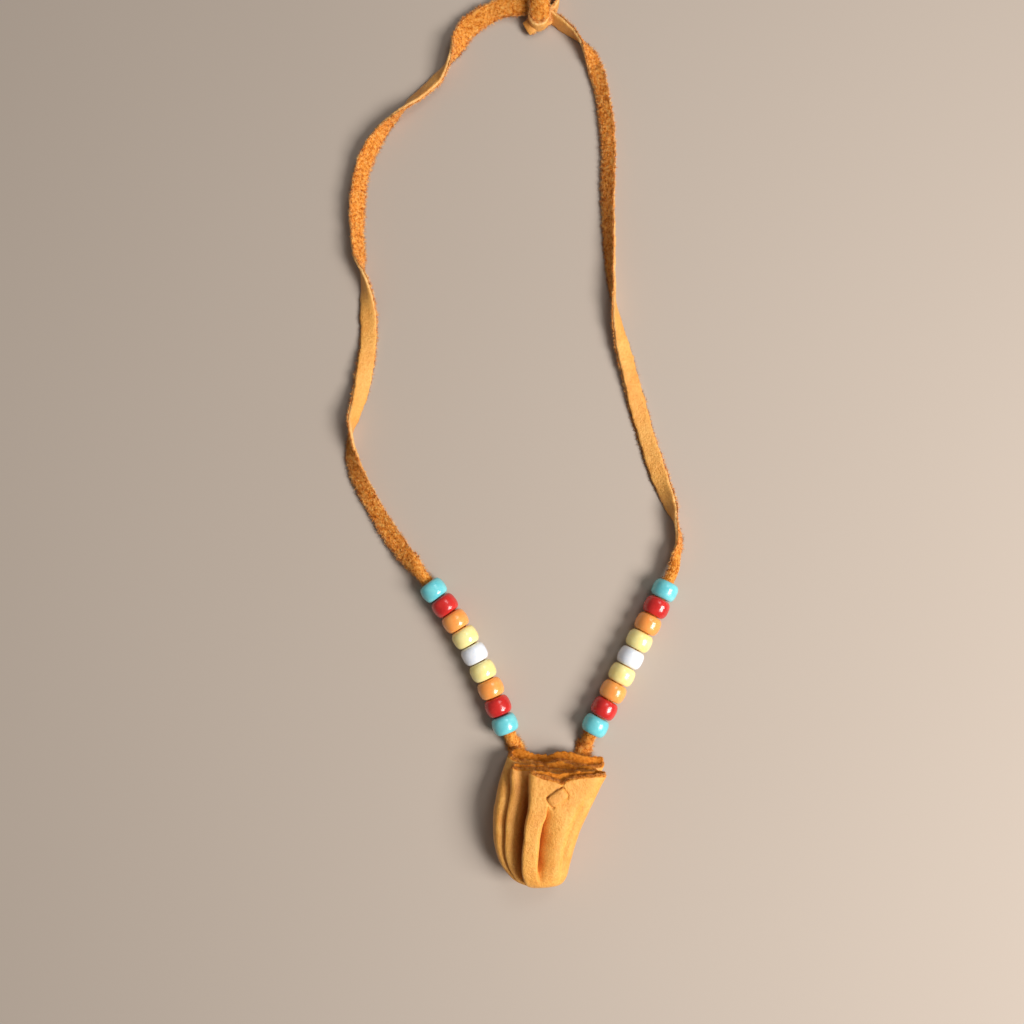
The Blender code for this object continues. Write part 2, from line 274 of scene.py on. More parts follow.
def grain_leather(name, light, dark, shade_in_creases=None):
    paint = Paint(
        name, 0.5, Specular_IOR_Level=0.65, Sheen_Weight=0.08, Sheen_Roughness=0.5,
    )
    clouds = paint.ramp(paint.noise(140, 4), (0.32, dark), (0.68, light))
    pebble = paint.noise(1250, 4, 0.7)
    pores = paint.ramp(pebble, (0.38, (0.86, 0.72, 0.50)), (0.55, (1.0, 1.0, 1.0)))
    wrinkles = paint.noise(520, 6, 0.72, (1, 0.6, 0.8))
    stretch_marks = paint.ramp(wrinkles, (0.32, (0.94, 0.84, 0.68)), (0.56, (1, 1, 1)))
    colour = paint.mix(0.7, clouds, pores, "MULTIPLY")
    colour = paint.mix(0.7, colour, stretch_marks, "MULTIPLY")
    # Painted shade: in the pleat valleys the colour is mixed towards a darker colour, by the crease-depth
    # share stored on the mesh.
    if shade_in_creases is not None:
        colour = paint.mix(paint.to_range(paint.attribute("crease_shade"), 0.0, 0.8), colour, shade_in_creases)
    paint.colour(colour)
    paint.roughness(paint.to_range(paint.noise(900, 3), 0.42, 0.62))
    paint.bump(
        (paint.cells(2600), 0.00004), (pebble, 0.00034), (wrinkles, 0.00034),
    )
    return paint.material


def suede_leather(name, light, dark, deep):
    paint = Paint(
        name, 0.95, Specular_IOR_Level=0.12, Sheen_Weight=0.16, Sheen_Roughness=0.4,
        Sheen_Tint=(1.0, 0.62, 0.22, 1.0),
    )
    nap = paint.ramp(paint.noise(950, 7, 0.82), (0.39, deep), (0.48, dark), (0.60, light))
    patches = paint.ramp(paint.noise(260, 3), (0.3, (0.84, 0.78, 0.7)), (0.65, (1, 1, 1)))
    paint.colour(paint.mix(0.7, nap, patches, "MULTIPLY"))
    paint.bump((paint.noise(2600, 6, 0.8), 0.00026), (paint.noise(800, 5, 0.7), 0.00055))
    return paint.material


def fibre_leather(name, light, dark, deep):
    paint = Paint(name, 0.8, Specular_IOR_Level=0.2, Sheen_Weight=0.2)
    paint.colour(paint.ramp(paint.noise(950, 7, 0.82), (0.41, deep), (0.48, dark), (0.59, light)))
    paint.bump((paint.noise(3000, 2), 0.00002))
    return paint.material


def bead_plastic(colour, light, dark):
    paint = Paint(
        f"bead_{colour}_plastic", 0.2, Specular_IOR_Level=0.5, Coat_Weight=0.35, Coat_Roughness=0.09,
        Subsurface_Weight=0.30, Subsurface_Radius=(0.0018, 0.0016, 0.0014), Subsurface_Scale=1.0,
    )
    swirl = paint.noise(230, 4, 0.6, (1, 1, 0.5))
    colour_of = paint.ramp(swirl, (0.3, dark), (0.62, light))
    specks = paint.ramp(paint.noise(1400, 2), (0.25, (0.9, 0.9, 0.9)), (0.45, (1, 1, 1)))
    paint.colour(paint.mix(0.5, colour_of, specks, "MULTIPLY"))
    paint.roughness(paint.to_range(paint.noise(700, 4), 0.14, 0.30))
    paint.bump((paint.noise(260, 3), 0.00016), (paint.noise(1300, 3), 0.00001))
    return paint.material


# The third colour is painted shade, laid into the pleat valleys.
GRAIN = grain_leather(
    "deerskin_grain", (0.94, 0.47, 0.090), (0.87, 0.37, 0.048), (0.58, 0.165, 0.010)
)
INNER = suede_leather(
    "deerskin_suede", (0.92, 0.34, 0.045), (0.76, 0.235, 0.020), (0.52, 0.12, 0.006)
)
CUT = suede_leather("deerskin_cut_edge", (1.0, 0.45, 0.08), (0.84, 0.29, 0.034), (0.56, 0.14, 0.008))
LACE_GRAIN = grain_leather("lace_grain", (0.93, 0.47, 0.100), (0.86, 0.36, 0.052))
LACE_SUEDE = suede_leather(
    "lace_suede", (1.0, 0.50, 0.11), (0.84, 0.27, 0.028), (0.42, 0.08, 0.003)
)
LACE_EDGE = grain_leather("lace_edge", (0.93, 0.56, 0.20), (0.84, 0.42, 0.11))
FIBRE = fibre_leather("lace_fibre", (1.0, 0.64, 0.22), (0.86, 0.29, 0.036), (0.42, 0.085, 0.004))
RIM_FIBRE = fibre_leather(
    "deerskin_fibre", (0.98, 0.48, 0.11), (0.76, 0.25, 0.028), (0.46, 0.10, 0.005)
)
BEAD_COLOURS = {
    "turquoise": ((0.22, 0.68, 0.72), (0.12, 0.56, 0.64)),
    "red": ((0.66, 0.03, 0.025), (0.50, 0.012, 0.012)),
    "orange": ((1.0, 0.42, 0.11), (0.97, 0.31, 0.06)),
    "yellow": ((1.0, 0.85, 0.38), (1.0, 0.76, 0.25)),
    "white": ((0.86, 0.88, 0.92), (0.74, 0.77, 0.85)),
}
BEAD_ROW = (
    "turquoise", "red", "orange", "yellow", "white", "yellow", "orange", "red", "turquoise",
)
BEAD_PAINTS = {name: bead_plastic(name, *shades) for name, shades in BEAD_COLOURS.items()}


# ---- Camera, light and floor -----------------------------------------------------------------

CAMERA_PLACE = (-0.0124, 0.0706, 0.362)
CAMERA_PITCH = 5.0
CAMERA_LENS = 36.9


KEY_PLACE, KEY_SIZE, KEY_POWER = (0.62, -0.16, 0.66), (0.46, 0.46), 12.0
WINDOW_PLACE, WINDOW_SIZE, WINDOW_POWER = (0.30, 0.50, 0.75), (0.30, 0.30), 1.2
LIGHTS_AIM = (0.0, 0.12, 0.0)
SKY_COLOUR, SKY_STRENGTH = (1.0, 0.95, 0.88, 1.0), 0.18
FLOOR_HALF, FLOOR_DROP = 3, 0.00005
FLOOR_DARK, FLOOR_LIGHT = (0.46, 0.385, 0.325), (0.475, 0.40, 0.34)


def add_camera():
    data = bpy.data.cameras.new("camera")
    data.lens = CAMERA_LENS
    data.sensor_width = 36.0
    data.clip_start = 0.01
    camera = bpy.data.objects.new("camera", data)
    camera.location = CAMERA_PLACE
    camera.rotation_euler = (math.radians(CAMERA_PITCH), 0.0, 0.0)
    bpy.context.scene.collection.objects.link(camera)
    bpy.context.scene.camera = camera


def add_area_light(name, place, aim, size, power, colour):
    data = bpy.data.lights.new(name, "AREA")
    data.shape = "RECTANGLE"
    data.size, data.size_y = size
    data.energy = power
    data.color = colour
    light = bpy.data.objects.new(name, data)
    light.location = place
    light.rotation_euler = (Vector(aim) - Vector(place)).to_track_quat("-Z", "Y").to_euler()
    bpy.context.scene.collection.objects.link(light)


def add_light():
    world = bpy.data.worlds.new("studio")
    world.use_nodes = True
    background = world.node_tree.nodes["Background"]
    background.inputs["Color"].default_value = SKY_COLOUR
    background.inputs["Strength"].default_value = SKY_STRENGTH
    bpy.context.scene.world = world
    add_area_light("key", KEY_PLACE, LIGHTS_AIM, KEY_SIZE, KEY_POWER, (1.0, 0.98, 0.95))
    add_area_light("window", WINDOW_PLACE, LIGHTS_AIM, WINDOW_SIZE, WINDOW_POWER, (0.96, 0.98, 1.0))


def add_floor():
    far = FLOOR_HALF
    verts = [(-far, -far, 0), (far, -far, 0), (far, far, 0), (-far, far, 0)]
    paint = Paint("floor_paint", 0.85)
    paint.colour(paint.ramp(paint.noise(3, 2), (0.3, FLOOR_DARK), (0.7, FLOOR_LIGHT)))
    floor = make_object("floor", verts, [(0, 1, 2, 3)], [paint.material])
    floor.location.z = -FLOOR_DROP


# ---- Lace ------------------------------------------------------------------------------------

LACE_STEP = 0.0004
ACROSS = 12
CURL_RADIUS = 0.00132
SUEDE, SMOOTH_GRAIN, EDGE = 0, 1, 2
LACE_PAINTS = (LACE_SUEDE, LACE_GRAIN, LACE_EDGE)
# Loose fibres for each metre of thong: tufts along its edges, and the nap of its suede side.
STRAND_TUFTS, STRAND_NAP = 70000, 70000
KNOT_TUFTS, KNOT_NAP = 60000, 70000
KNOT_STEP = 0.00035
RIM_FIBRES = 16000
STRAY_SHARE = 0.16
TUFT_WAVE = np.array((2900.0, 3300.0, 1700.0))
SLOW_WAVE = np.array((700.0, 900.0, 0.0))


def lace_section(curl, width, grain_out=False):
    """The thong's outline across its width: (along its width, along its thickness) points and
    the slot of each side, suede first. Its suede side is the outer one when it curls into a
    bead, unless grain_out."""
    out = -1 if grain_out else 1
    half, thick = width / 2, LACE_THICKNESS / 2
    bend = max(curl, 1e-3) / CURL_RADIUS
    points, slots = [], []
    reach = np.linspace(-1, 1, ACROSS + 1)
    for side, slot in ((1, SUEDE), (-1, SMOOTH_GRAIN)):
        for share in reach if side > 0 else reach[::-1]:
            rounding = 1 - 0.28 * abs(share) ** 6
            angle = share * half * bend
            radius = 1 / bend + out * side * thick * rounding
            points.append((radius * math.sin(angle), radius * math.cos(angle) - 1 / bend))
            slots.append(slot)
        slots[-1] = EDGE
    points = np.array(points)
    sag = (points[:, 1].min() + points[:, 1].max()) / 2
    points[:, 1] -= sag * min(1.0, curl * 1.2)
    return points, slots


SECTION_SLOTS = lace_section(0.0, LACE_WIDTH)[1]


def roll_at(table, y):
    return np.radians(np.interp(y, [row[0] * MM for row in table], [row[1] for row in table]))


def side_and_up(line):
    along = unit(np.gradient(line, axis=0))
    side = unit(np.cross(along, (0, 0, 1.0)))
    return along, side, np.cross(side, along)


def sweep(sections, centres, side, up, roll):
    """Rings of points: each section laid across the line at its roll."""
    rings = []
    for section, centre, s, u, angle in zip(sections, centres, side, up, roll):
        across = math.cos(angle) * s + math.sin(angle) * u
        facing = -math.sin(angle) * s + math.cos(angle) * u
        rings.append(centre + section[:, :1] * across + section[:, 1:] * facing)
    return np.array(rings)


def rough(points, scale, seed=0):
    return np.array([
        noise.noise(Vector(p) * scale + Vector((seed, 0, 0))) for p in points.reshape(-1, 3)
    ]).reshape(points.shape[:-1])


def roughen(rings):
    """Makes the thong's cut edges ragged and its suede side nubbly."""
    by_point = np.full(rings.shape[1], 0.00003)
    by_point[: ACROSS + 1] = 0.00022
    by_point[[0, 1, ACROSS - 1, ACROSS, ACROSS + 1, -1]] = 0.00036
    outward = unit(rings - rings.mean(axis=1, keepdims=True))
    rings = rings + outward * (rough(rings, 1150) * by_point)[..., None]
    rings[..., 2] = np.maximum(rings[..., 2], 0.00002)
    return rings


def ring_mesh(rings, slots, slot_end=EDGE):
    count = rings.shape[1]
    faces, face_slots = [], []
    for i in range(len(rings) - 1):
        for k in range(count):
            after = (k + 1) % count
            here, beyond = i * count, (i + 1) * count
            faces.append((here + k, here + after, beyond + after, beyond + k))
            face_slots.append(slots[k])
    last = (len(rings) - 1) * count
    faces.append(tuple(range(count))[::-1])
    faces.append(tuple(last + k for k in range(count)))
    face_slots += [slot_end, slot_end]
    return rings.reshape(-1, 3), faces, face_slots


def fibres(roots, directions, lengths, thicks, draw, bent):
    """Loose hairs as three-sided spikes, the first ones bent: points and triangles."""
    directions = unit(directions)
    drift = draw.uniform(-1, 1, roots.shape)
    drift -= directions * (drift * directions).sum(-1, keepdims=True)
    across = unit(np.cross(directions, drift))
    other = np.cross(directions, across)
    reach, thick = lengths[:, None], thicks[:, None]
    middle = roots + directions * reach * 0.5 + drift * reach * 0.14
    tip = roots + directions * reach + drift * reach * 0.50
    turns = [(math.cos(turn), math.sin(turn)) for turn in (0.0, 2.094, 4.189)]
    feet = [roots + thick * (c * across + s * other) for c, s in turns]
    waists = [middle + 0.65 * thick * (c * across + s * other) for c, s in turns]
    curved = np.stack([*feet, *waists, tip], axis=1)[:bent].reshape(-1, 3)
    straight = np.stack([*feet, tip], axis=1)[bent:].reshape(-1, 3)
    spike = np.array((
        (0, 1, 4), (0, 4, 3), (1, 2, 5), (1, 5, 4), (2, 0, 3), (2, 3, 5),
        (3, 4, 6), (4, 5, 6), (5, 3, 6),
    ))
    plain = np.array(((0, 1, 3), (1, 2, 3), (2, 0, 3)))
    faces = np.concatenate([
        (spike[None] + 7 * np.arange(bent)[:, None, None]).reshape(-1, 3),
        (plain[None] + 7 * bent + 4 * np.arange(len(roots) - bent)[:, None, None]).reshape(-1, 3),
    ])
    verts = np.concatenate([curved, straight])
    verts[:, 2] = np.maximum(verts[:, 2], 0.00004)
    return verts, faces.tolist()


def lace_fuzz(rings, edge_per_metre, nap_per_metre, seed):
    """Loose fibres of the suede side: tufts along its two cut edges, and a short nap."""
    draw = np.random.RandomState(seed)
    long = length_of(rings.mean(axis=1))
    at_edge, nap = int(long * edge_per_metre), int(long * nap_per_metre)
    total = at_edge + nap
    i = draw.randint(1, len(rings) - 2, total)
    k = np.concatenate([
        draw.choice([0, 0, 1, ACROSS - 1, ACROSS, ACROSS], at_edge), draw.randint(1, ACROSS, nap)
    ])
    share = draw.uniform(0, 1, (total, 1))
    roots = rings[i, k] * (1 - share) + rings[i + 1, k] * share
    along = unit(rings[i + 1, k] - rings[i - 1, k])
    across = unit(rings[i, np.minimum(k + 1, ACROSS)] - rings[i, np.maximum(k - 1, 0)])
    facing = np.cross(across, along)
    outward = unit(roots - rings[i].mean(axis=1))
    facing *= np.where((facing * outward).sum(-1, keepdims=True) < 0, -1.0, 1.0)
    edge = (np.arange(total) < at_edge)[:, None]
    tufts = np.sin(roots @ TUFT_WAVE + 3 * np.sin(roots @ SLOW_WAVE))
    lean = draw.uniform(-0.6, 0.6, (total, 3))
    sweep_along = along * (0.7 * tufts[:, None] + draw.uniform(-0.5, 0.5, (total, 1)))
    directions = np.where(edge, outward + 0.25 * facing, 0.55 * facing) + sweep_along + lean
    edge = edge[:, 0]
    lengths = np.where(edge, draw.uniform(0.3, 0.95, total), draw.uniform(0.22, 0.55, total)) * MM
    stray = edge & (draw.uniform(0, 1, total) < STRAY_SHARE)
    stray_lengths = draw.uniform(0.9, 1.7, total) * MM
    lengths = np.where(stray, stray_lengths, lengths * (1 + 0.35 * tufts * edge))
    thicks = draw.uniform(0.045, 0.08, total) * (1 + 0.5 * stray) * MM
    return fibres(roots, directions, lengths, thicks, draw, bent=at_edge // 5)


def strand(name, route, roll_table, width_table, seed):
    """One strand of the lace, from the pouch up to the knot."""
    line = spaced(smooth_line(route)[::-1], LACE_STEP)
    along = np.concatenate([[0.0], np.cumsum(np.linalg.norm(np.diff(line, axis=0), axis=1))])
    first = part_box(f"bead_{name}_9")
    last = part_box(f"bead_{name}_1")
    lowest, highest = (
        along[np.argmin(np.linalg.norm(line - np.array((low + high) / 2), axis=1))]
        for low, high in (first, last)
    )
    grip = BEAD_LENGTH / 2
    below = 0.55 + 0.45 * smooth((along - (lowest - grip - 0.0062)) / 0.0030)
    above = 1 - smooth((along - (highest + grip + 0.0040)) / 0.0100)
    curl = np.minimum(below, above)
    roll = roll_at(roll_table, line[:, 1])
    heights = [row[0] * MM for row in width_table]
    share = np.interp(line[:, 1], heights, [row[1] for row in width_table])
    width = LACE_WIDTH * share * (1 + 0.04 * np.sin(along * 310 + seed) + 0.03 * np.sin(along * 890))
    half, thick = width / 2, LACE_THICKNESS / 2
    lying = half * np.abs(np.sin(roll)) * 0.92 + thick * np.abs(np.cos(roll)) + 0.0001
    held = smooth((line[:, 2] - ON_TABLE) / (IN_BEADS - ON_TABLE))
    lifted = lying * (1 - held) + np.maximum(line[:, 2], lying) * held
    line[:, 2] = np.maximum(lifted, lying * (1 - curl))
    sections = [lace_section(c, w)[0] for c, w in zip(curl, width)]
    _, side, up = side_and_up(line)
    return line, roughen(sweep(sections, line, side, up, roll))


def build_strand(name, route, roll_table, width_table, seed):
    line, rings = strand(name, route, roll_table, width_table, seed)
    verts, faces, face_slots = ring_mesh(rings, SECTION_SLOTS)
    piece = make_object(f"lace_{name}_strand", verts, faces, LACE_PAINTS, face_slots)
    fuzz = lace_fuzz(rings, STRAND_TUFTS, STRAND_NAP, seed)
    hairs = make_object(f"lace_{name}_fuzz", *fuzz, [FIBRE])
    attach(piece, ROOT)
    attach(hairs, ROOT)
    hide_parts("lace")
    return piece, hairs, line


# ---- Knot ------------------------------------------------------------------------------------

# The loops and tails of the knot, in mm: (name, route, side, width, curl, grain up). The side is
# the way across the thong in a loop that stands on the table; None keeps the thong lying flat.
KNOT_PARTS = (
    ("wrap", ((-3.2, 286.5, 1.0), (-3.3, 290.2, 1.3), (-3.2, 291.6, 3.2), (-3.0, 290.6, 5.4),
              (-2.8, 288.0, 6.7), (-2.6, 284.4, 7.1), (-2.5, 280.8, 6.7), (-2.5, 278.2, 5.7),
              (-2.6, 277.2, 4.3), (-2.6, 277.8, 2.8), (-2.7, 280.2, 1.9), (-2.9, 284.0, 1.4)),
     (-1.0, -0.06, 0.0), 6.9, 0.30, False),
    ("collar", ((-5.7, 281.0, 3.2), (-6.0, 279.2, 3.4), (-5.5, 277.3, 3.6), (-4.3, 276.1, 3.7),
                (-2.9, 275.8, 3.7), (-1.3, 276.3, 3.7), (-0.2, 277.6, 3.5), (0.4, 279.6, 3.3),
                (0.7, 281.4, 3.1)),
     (0.0, 0.0, 1.0), 4.0, 0.04, False),
    ("loop", ((-0.6, 281.6, 3.0), (1.2, 281.5, 3.3), (2.9, 282.8, 3.4), (3.9, 285.6, 3.5),
              (3.4, 289.0, 3.4), (1.4, 291.2, 3.2), (-1.6, 291.4, 3.0)),
     (0.0, 0.0, 1.0), 5.0, 0.05, False),
    ("lower_tail", ((1.4, 281.2, 1.9), (-1.4, 279.4, 2.2), (-4.2, 277.8, 2.8), (-6.2, 276.7, 2.6),
                    (-7.3, 276.1, 1.9)), None, 5.2, 0.26, True),
    ("upper_tail", ((-1.4, 286.2, 2.4), (-0.5, 289.0, 2.9), (0.8, 291.9, 2.1), (2.2, 294.3, 1.2),
                    (3.0, 296.0, 0.9)), None, 5.7, 0.12, False),
)


def build_knot():
    """The knot the two strands are tied in, one piece of thong for each loop and tail of it."""
    verts, faces, face_slots = [], [], []
    hair_verts, hair_faces = [], []
    for _, route, across, width, curl, grain_up in KNOT_PARTS:
        line = spaced(smooth_line(np.array(route) * MM), KNOT_STEP)
        if across is None:
            _, side, up = side_and_up(line)
        else:
            along = unit(np.gradient(line, axis=0))
            side = np.broadcast_to(unit(np.array(across)), line.shape)
            up = unit(np.cross(side, along))
        section = lace_section(curl, width * MM, grain_out=grain_up)[0]
        rings = roughen(sweep([section] * len(line), line, side, up, np.zeros(len(line))))
        part_verts, part_faces, part_slots = ring_mesh(rings, SECTION_SLOTS)
        start = len(verts)
        verts.extend(part_verts)
        turn = -1 if grain_up else 1
        faces.extend(tuple(start + k for k in face[::turn]) for face in part_faces)
        face_slots.extend(part_slots)
        hairs = lace_fuzz(rings, KNOT_TUFTS, KNOT_NAP, len(verts))
        hair_faces.extend([k + len(hair_verts) for k in face] for face in hairs[1])
        hair_verts.extend(hairs[0])
    knot = make_object("lace_knot_turns", verts, faces, LACE_PAINTS, face_slots)
    fuzz = make_object("lace_knot_fuzz", hair_verts, hair_faces, [FIBRE])
    for thing in (knot, fuzz):
        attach(thing, ROOT)
    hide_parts("lace_knot")
    return knot


# ---- Beads -----------------------------------------------------------------------------------

BEAD_SIDES = 72
BEAD_STEPS = 22


def bead_profile():
    """(radius, height) round the bead's wall: barrel, flat ends, rounded bore mouths."""
    half = BEAD_LENGTH / 2
    low, bulge = BEAD_FACE / 2, (BEAD_DIAMETER - BEAD_FACE) / 2
    outer = []
    for step in range(BEAD_STEPS + 1):
        angle = math.pi * (step / BEAD_STEPS - 0.5)
        height = half * math.copysign(abs(math.sin(angle)) ** (2 / BEAD_BARREL_POWER), angle)
        outer.append((low + bulge * abs(math.cos(angle)) ** (2 / BEAD_BARREL_POWER), height))
    bore, lip = BEAD_BORE / 2, 0.00022
    inner = []
    for end in (1, -1):
        for step in range(4):
            angle = math.pi / 2 * step / 3 if end > 0 else math.pi / 2 * (1 - step / 3)
            inner.append((
                bore + lip * (1 - math.sin(angle)), end * (half - lip * (1 - math.cos(angle))),
            ))
    return outer + inner


def build_bead(side, number, seed):
    """A pony bead in place of its CAD bead, a little out of round as moulded beads are."""
    node = f"bead_{side}_{number}"
    joint = next(j for j in frame["joints"] if j["child"] == node)
    low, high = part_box(node)
    draw = random.Random(seed)
    profile = bead_profile()
    wobble, squash_by = draw.uniform(0, 6.28), draw.uniform(0.004, 0.012)
    verts = []
    for k in range(BEAD_SIDES):
        angle = 2 * math.pi * k / BEAD_SIDES
        out_of_round = 1 - squash_by * (1 + math.cos(2 * angle + wobble)) / 2
        for radius, height in profile:
            worn = 1 - 0.004 * math.sin(3 * angle + 900 * height + wobble)
            verts.append((radius * math.cos(angle) * out_of_round * worn,
                          radius * math.sin(angle) * out_of_round * worn, height))
    count, faces = len(profile), []
    for k in range(BEAD_SIDES):
        for i in range(count):
            here, beside, up = k * count, ((k + 1) % BEAD_SIDES) * count, (i + 1) % count
            faces.append((here + i, beside + i, beside + up, here + up))
    bead = make_object(
        f"{side}_bead_{number}", verts, faces, [BEAD_PAINTS[BEAD_ROW[number - 1]]], smooth_angle=50
    )
    turn = Vector(joint["axis"]).to_track_quat("Z", "Y").to_matrix().to_4x4()
    spin = Matrix.Rotation(draw.uniform(0, 6.28), 4, "Z")
    bead.data.transform(Matrix.Translation((low + high) / 2) @ turn @ spin)
    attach(bead, node)
    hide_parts(node)
    return bead


# ---- Pouch -----------------------------------------------------------------------------------

# Stations from the pouch's foot to past its mouth, in mm:
# (y, middle x, half width, middle z, half height).
STATIONS = (
    (-21.9, -3.0, 0.0, 7.8, 0.0), (-20.9, -3.4, 6.6, 7.8, 5.2), (-18.2, -4.1, 9.6, 7.9, 7.6),
    (-14.0, -4.9, 11.7, 8.2, 8.6), (-8.5, -4.9, 13.2, 8.7, 9.2), (-2.6, -4.2, 14.6, 9.0, 9.5),
    (3.0, -2.7, 15.8, 9.1, 9.6), (9.6, -0.3, 16.9, 9.1, 9.4), (15.0, 1.2, 17.0, 9.0, 9.0),
    (20.0, 1.9, 15.6, 8.6, 8.4), (24.0, 2.1, 14.9, 8.5, 8.2),
)
BODY_POWER = 2.5

# The rim as it lies folded at the mouth, in mm, and the place on the body that each point
# comes from, as an angle: 0 at the right, 90 at the front, 180 at the left, 270 at the back.
RIM = (
    # The front panel, right to left, with the notch over its slits.
    (18.3, 14.2, 12.6, 20), (17.5, 14.4, 14.6, 32), (14.7, 14.6, 16.2, 44), (11.2, 14.4, 16.8, 52),
    (7.9, 14.0, 17.0, 60), (5.7, 13.4, 17.0, 66), (3.8, 12.3, 17.0, 72), (2.0, 13.0, 17.0, 78),
    (-0.8, 13.7, 17.1, 86), (-3.5, 14.5, 17.1, 94), (-5.4, 15.4, 16.9, 101),
    (-6.6, 15.9, 16.2, 107), (-7.0, 15.6, 15.0, 109.5), (-6.4, 15.5, 13.9, 111.5),
    # Under it to the right and back again.
    (-4.5, 15.3, 13.5, 112.2), (-0.7, 15.1, 13.7, 112.6), (3.2, 14.8, 13.8, 113.0),
    (7.3, 15.1, 13.7, 113.4), (10.9, 15.3, 13.4, 113.8), (13.4, 15.6, 12.9, 114.0),
    (10.9, 15.5, 12.4, 114.3), (7.3, 15.3, 12.3, 114.7), (3.2, 15.5, 12.3, 115.1),
    (-0.1, 15.7, 12.3, 115.5), (-3.9, 16.0, 12.0, 115.9), (-6.7, 16.1, 11.7, 116.3),
    # The left pleat, and under it to the right and back.
    (-9.2, 16.0, 12.2, 117.5), (-11.1, 16.4, 13.2, 121), (-12.4, 16.8, 12.9, 128),
    (-12.8, 17.2, 11.4, 135), (-12.2, 17.4, 10.0, 140), (-9.7, 16.9, 9.2, 141.5),
    (-6.1, 17.1, 9.1, 142.2), (-3.3, 16.8, 8.9, 142.7), (-1.2, 16.3, 8.4, 143.0),
    (-3.3, 17.2, 7.8, 143.3), (-6.1, 17.6, 7.8, 143.8), (-9.4, 18.1, 7.8, 144.5),
    (-11.6, 18.6, 8.0, 147), (-13.2, 19.5, 7.6, 153),
    # Round the left side and along the back, up over each strand of the lace.
    (-13.9, 19.8, 6.4, 163), (-13.9, 20.0, 5.2, 178), (-13.6, 20.4, 4.0, 195),
    (-13.1, 20.9, 3.2, 207), (-12.1, 21.2, 2.9, 214), (-10.5, 21.4, 3.0, 222),
    (-8.9, 21.1, 3.1, 230), (-7.1, 20.3, 2.9, 238), (-4.8, 19.4, 2.4, 246),
    (-2.0, 18.9, 2.2, 256), (0.3, 19.1, 2.3, 264), (2.2, 19.8, 2.6, 271), (4.5, 20.4, 3.0, 279),
    (6.8, 20.1, 3.2, 287), (9.3, 19.4, 3.2, 296), (12.1, 18.7, 3.2, 306), (14.7, 18.6, 2.9, 316),
    (17.0, 18.3, 3.0, 326), (18.2, 17.4, 3.5, 334), (18.5, 16.5, 4.6, 341),
    # The right pleat: in to the left, and back out to the front panel.
    (17.6, 16.1, 5.7, 344.5), (14.5, 16.0, 6.2, 346.5), (11.4, 16.1, 6.4, 347.6),
    (8.6, 16.8, 6.4, 348.4), (5.8, 17.7, 6.4, 349.2), (3.5, 18.2, 6.5, 349.7),
    (1.0, 17.6, 6.8, 350.0), (-0.9, 16.7, 7.4, 350.3), (0.6, 17.4, 7.9, 350.7),
    (2.6, 17.9, 8.0, 351.2), (4.5, 17.7, 8.0, 351.8), (6.2, 17.1, 8.1, 352.4),
    (7.9, 16.3, 8.3, 353), (9.8, 16.2, 8.5, 354), (11.7, 16.4, 8.8, 355.5),
    (13.7, 16.0, 9.2, 358), (15.3, 15.3, 9.8, 361), (16.9, 15.0, 10.6, 365),
    (18.0, 14.6, 11.5, 372),
)
STITCH_ENDS = ((0.0, 6.8), (4.5, 9.9))
STITCH_LEVEL = 17.05
STITCH_WIDTH = 3.7
FOLD_LENGTH = 15.0
RIM_STEP = 0.48
CREASED = (63, 96)
CREASE_STEP = RIM_STEP / 2.6
LEFT_SHELF = 2.6
# How far each part of the folded mouth slants outward, in mm along X for each mm down from
# the rim: (angle, slant) points.
SLANT = (
    (0, -0.50), (20, -0.52), (45, -0.44), (60, -0.28), (95, -0.14), (109, -0.08), (135, -0.10),
    (145, -0.18), (155, -0.34), (205, -0.34), (230, -0.15), (300, -0.30), (340, -0.50), (380, -0.50),
)
ROWS = 84

# Valleys between the pleats, below the folded mouth: angle, depth, how far the valley reaches
# on its right and on its left in degrees, how flat its floor is, and (y, share) points.
VALLEYS = (
    (114.0, 8.6, 3.0, 11.0, 1.35, ((-21, 0.1), (-17, 0.75), (-8, 1.0), (20, 1.0))),
    (143.0, 4.6, 3.6, 5.0, 1.35, ((-21, 0.1), (-15, 0.6), (-5, 0.9), (20, 1.0))),
    (85.5, 2.2, 5.0, 0.9, 1.3, ((-14, 0.0), (-8, 0.6), (0, 0.9), (4, 0.9), (6.2, 0.1), (6.8, 0.0))),
    (85.5, 5.6, 14.0, 1.0, 1.15, ((-20, 0.0), (-17, 0.3), (-13, 0.9), (-4, 1.0), (1, 0.5), (5, 0.0))),
    (43.0, 1.5, 5.0, 6.0, 1.35, ((-19, 0.2), (-10, 0.9), (8, 0.8), (14, 0.9), (20, 0.9))),
    (-10.0, 3.0, 6.0, 6.0, 1.35, ((-19, 0.1), (-12, 0.5), (4, 0.8), (20, 1.0))),
    (205.0, 1.8, 7.0, 7.0, 1.35, ((-19, 0.2), (-8, 0.8), (12, 0.5), (20, 0.0))),
    (228.0, 3.6, 4.0, 4.0, 1.35, ((-20, 0.1), (-14, 0.8), (-4, 1.0), (14, 0.9), (20, 0.4))),
    (246.0, 4.2, 4.5, 3.0, 1.35, ((-20, 0.1), (-15, 0.7), (-3, 1.0), (12, 1.0), (20, 0.4))),
    (266.0, 3.8, 3.5, 4.5, 1.35, ((-20, 0.1), (-15, 0.8), (-5, 1.0), (12, 1.0), (20, 0.4))),
    (287.0, 4.4, 4.0, 3.5, 1.35, ((-20, 0.1), (-14, 0.7), (-4, 1.0), (12, 1.0), (20, 0.4))),
    (309.0, 3.8, 3.5, 4.0, 1.35, ((-20, 0.1), (-15, 0.8), (-3, 1.0), (13, 1.0), (20, 0.4))),
    (330.0, 3.2, 4.0, 4.0, 1.35, ((-20, 0.1), (-13, 0.8), (-2, 1.0), (14, 0.9), (20, 0.5))),
)
